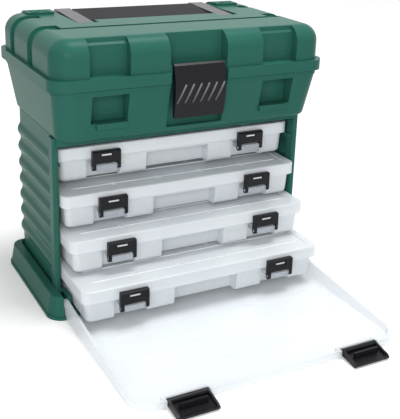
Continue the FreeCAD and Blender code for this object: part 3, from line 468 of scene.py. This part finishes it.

# Main latch: a black plate that hangs from a pin in the lid and hooks under the bin's catch. The
# slanting thumb ribs' faces carry a painted highlight, a paler grey that is strongest near their upper ends.
BLACK = (0.007, 0.0072, 0.009)
# Painted highlight: the paler grey on the rib faces stands for the light the ribs catch.
RIB_HIGHLIGHT_GREY = (0.20, 0.20, 0.21)
LATCH_EDGE = 0.0003
RIB_FACE = -0.0785
RIB_FOOT = 0.176
RIB_LOW = 0.186
RIB_HIGH = 0.209
FRONT_FACE = -0.9
black, tree, shader = grained("black_plastic", BLACK, roughness=0.36, grain=900, relief=0.10)
shader.inputs["Specular IOR Level"].default_value = 0.2
rib_highlight_black, tree, shader = grained("latch_rib_painted_highlight", BLACK, roughness=0.32, grain=900, relief=0.1)
where = tree.nodes.new("ShaderNodeTexCoord")
split = tree.nodes.new("ShaderNodeSeparateXYZ")
tree.links.new(where.outputs["Object"], split.inputs["Vector"])
highlight_fade = tree.nodes.new("ShaderNodeMapRange")
highlight_fade.inputs["From Min"].default_value = RIB_LOW
highlight_fade.inputs["From Max"].default_value = RIB_HIGH
tree.links.new(split.outputs["Z"], highlight_fade.inputs["Value"])
highlight_mix = tree.nodes.new("ShaderNodeMix")
highlight_mix.data_type = "RGBA"
highlight_mix.inputs["A"].default_value = (*BLACK, 1)
highlight_mix.inputs["B"].default_value = (*RIB_HIGHLIGHT_GREY, 1)
tree.links.new(highlight_fade.outputs["Result"], highlight_mix.inputs["Factor"])
tree.links.new(highlight_mix.outputs["Result"], shader.inputs["Base Color"])
latch_work = joined_copy("main_latch")
# The rib front faces take the painted highlight finish.
for face in latch_work.faces:
    middle = face.calc_center_median()
    if face.normal.y < FRONT_FACE and middle.y < RIB_FACE and RIB_FOOT < middle.z < RIB_HIGH:
        face.material_index = 1
finished_piece("main_latch", latch_work, [black, rib_highlight_black], LATCH_EDGE)
refinish("main_latch_pin", steel)

# Front door: a clear shallow tray that folds down on its two pins, a little milky, with its
# latch pins at the far edge.
DOOR_CLEAR = (0.88, 0.92, 0.975)
DOOR_EDGE = 0.0004
EDGE_ON_BLEND = 0.35


def see_through(name, colour, roughness, facing, edge_on):
    """Clear plastic that is milkier, with more alpha, where it is seen edge on."""
    material, tree, shader = grained(name, colour, roughness, grain=400, relief=0.04)
    weight = tree.nodes.new("ShaderNodeLayerWeight")
    weight.inputs["Blend"].default_value = EDGE_ON_BLEND
    spread = tree.nodes.new("ShaderNodeMapRange")
    spread.inputs["To Min"].default_value = facing
    spread.inputs["To Max"].default_value = edge_on
    tree.links.new(weight.outputs["Facing"], spread.inputs["Value"])
    tree.links.new(spread.outputs["Result"], shader.inputs["Alpha"])
    return material


door_clear = see_through("door_clear_plastic", DOOR_CLEAR, roughness=0.22, facing=0.34, edge_on=0.85)
softened("front_door", door_clear, DOOR_EDGE)
refinish("door_latch_pins", steel)

# Door latches: two black flaps on pins at the door's far edge, which hook over the ledges of
# the bin's finger windows.
DOOR_LATCH_EDGE = 0.0003
for node in ("door_latch_left", "door_latch_right"):
    softened(node, black, DOOR_LATCH_EDGE)

# Organisers: four flat boxes of milky clear plastic, each with a tray, a lid that wraps over
# it, thin dividers, two side pins and two black snap latches. The lids' catches, which show in
# the snap latches' slots, are frosted. The trays' front faces, with the thin bosses between the
# latches' legs, get painted shade: a darker, clearer copy of the tray plastic.
CLEAR = (0.89, 0.93, 1.0)
# Painted shade: a darker copy of the clear plastic for the trays' front faces.
BOSS_PAINTED_SHADE = (0.62, 0.66, 0.74)
FROSTED = (0.88, 0.90, 0.94)
BOX_EDGE = 0.0004
CLIP_EDGE = 0.0003
BOSS_SHADE_DEPTH = 0.0044
CATCH_DEPTH = 0.0035
ORGANIZERS = ["organizer_%d" % number for number in range(1, 5)]
box_clear = see_through("organizer_tray_plastic", CLEAR, roughness=0.26, facing=0.60, edge_on=0.92)
lid_clear = see_through("organizer_lid_plastic", CLEAR, roughness=0.20, facing=0.64, edge_on=0.94)
boss_painted_shade = see_through("organizer_boss_plastic", BOSS_PAINTED_SHADE, roughness=0.24, facing=0.34, edge_on=0.80)
frosted, tree, shader = grained("frosted_tab_plastic", FROSTED, roughness=0.4, grain=400, relief=0.05)
for organizer in ORGANIZERS:
    for part, main, front_shade_and_frosting, front_depth in (("tray", box_clear, boss_painted_shade, BOSS_SHADE_DEPTH),
                                                  ("lid", lid_clear, frosted, CATCH_DEPTH)):
        node = "%s_%s" % (organizer, part)
        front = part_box(node)[0][1]
        work = joined_copy(node)
        # Faces near the front: the tray's take the painted shade, the lid's take the frosting.
        for face in work.faces:
            if face.calc_center_median().y < front + front_depth:
                face.material_index = 1
        finished_piece(node, work, [main, front_shade_and_frosting], BOX_EDGE)
    refinish(organizer + "_dividers", box_clear)
    refinish(organizer + "_lid_pins", steel)
    for side in ("left", "right"):
        softened("%s_clip_%s" % (organizer, side), black, CLIP_EDGE)

# Lid markings: thin raised lines along each organiser's lid, crossed by pairs of short ticks that
# stand over the dividers, moulded with the lid.
LINE_WIDTH = 0.0010
LINE_RISE = 0.0005
LINE_HALF = 0.105
LINE_MIDDLE_HALF = 0.04
LINES_DEEP = 0.066
LINES_BACK = 0.0022
PANEL_SINK = 0.0006
TICK_HALF = 0.004
TICK_ASIDE = 0.0012
DIVIDERS_WIDE = 0.132
line = [(x, 0) for x in (-LINE_HALF, -LINE_MIDDLE_HALF, LINE_MIDDLE_HALF, LINE_HALF)]
for organizer in ORGANIZERS:
    node = organizer + "_lid"
    low, high = [Vector(corner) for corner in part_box(node)]
    middle = (0, (low.y + high.y) / 2 + LINES_BACK, high.z - PANEL_SINK)
    repeated(node + "_lines", ridge(line, LINE_WIDTH, LINE_RISE), frosted, node, Columns=1, Rows=4,
             Width=0.0, Depth=LINES_DEEP, Middle=middle, Turn=0.0)
    for side, label in ((-1, "left"), (1, "right")):
        tick = [(side * TICK_ASIDE, y) for y in (-TICK_HALF, 0, TICK_HALF)]
        repeated("%s_ticks_%s" % (node, label), ridge(tick, LINE_WIDTH, LINE_RISE), frosted, node,
                 Columns=4, Rows=3, Width=DIVIDERS_WIDE, Depth=LINES_DEEP, Middle=middle, Turn=0.0)
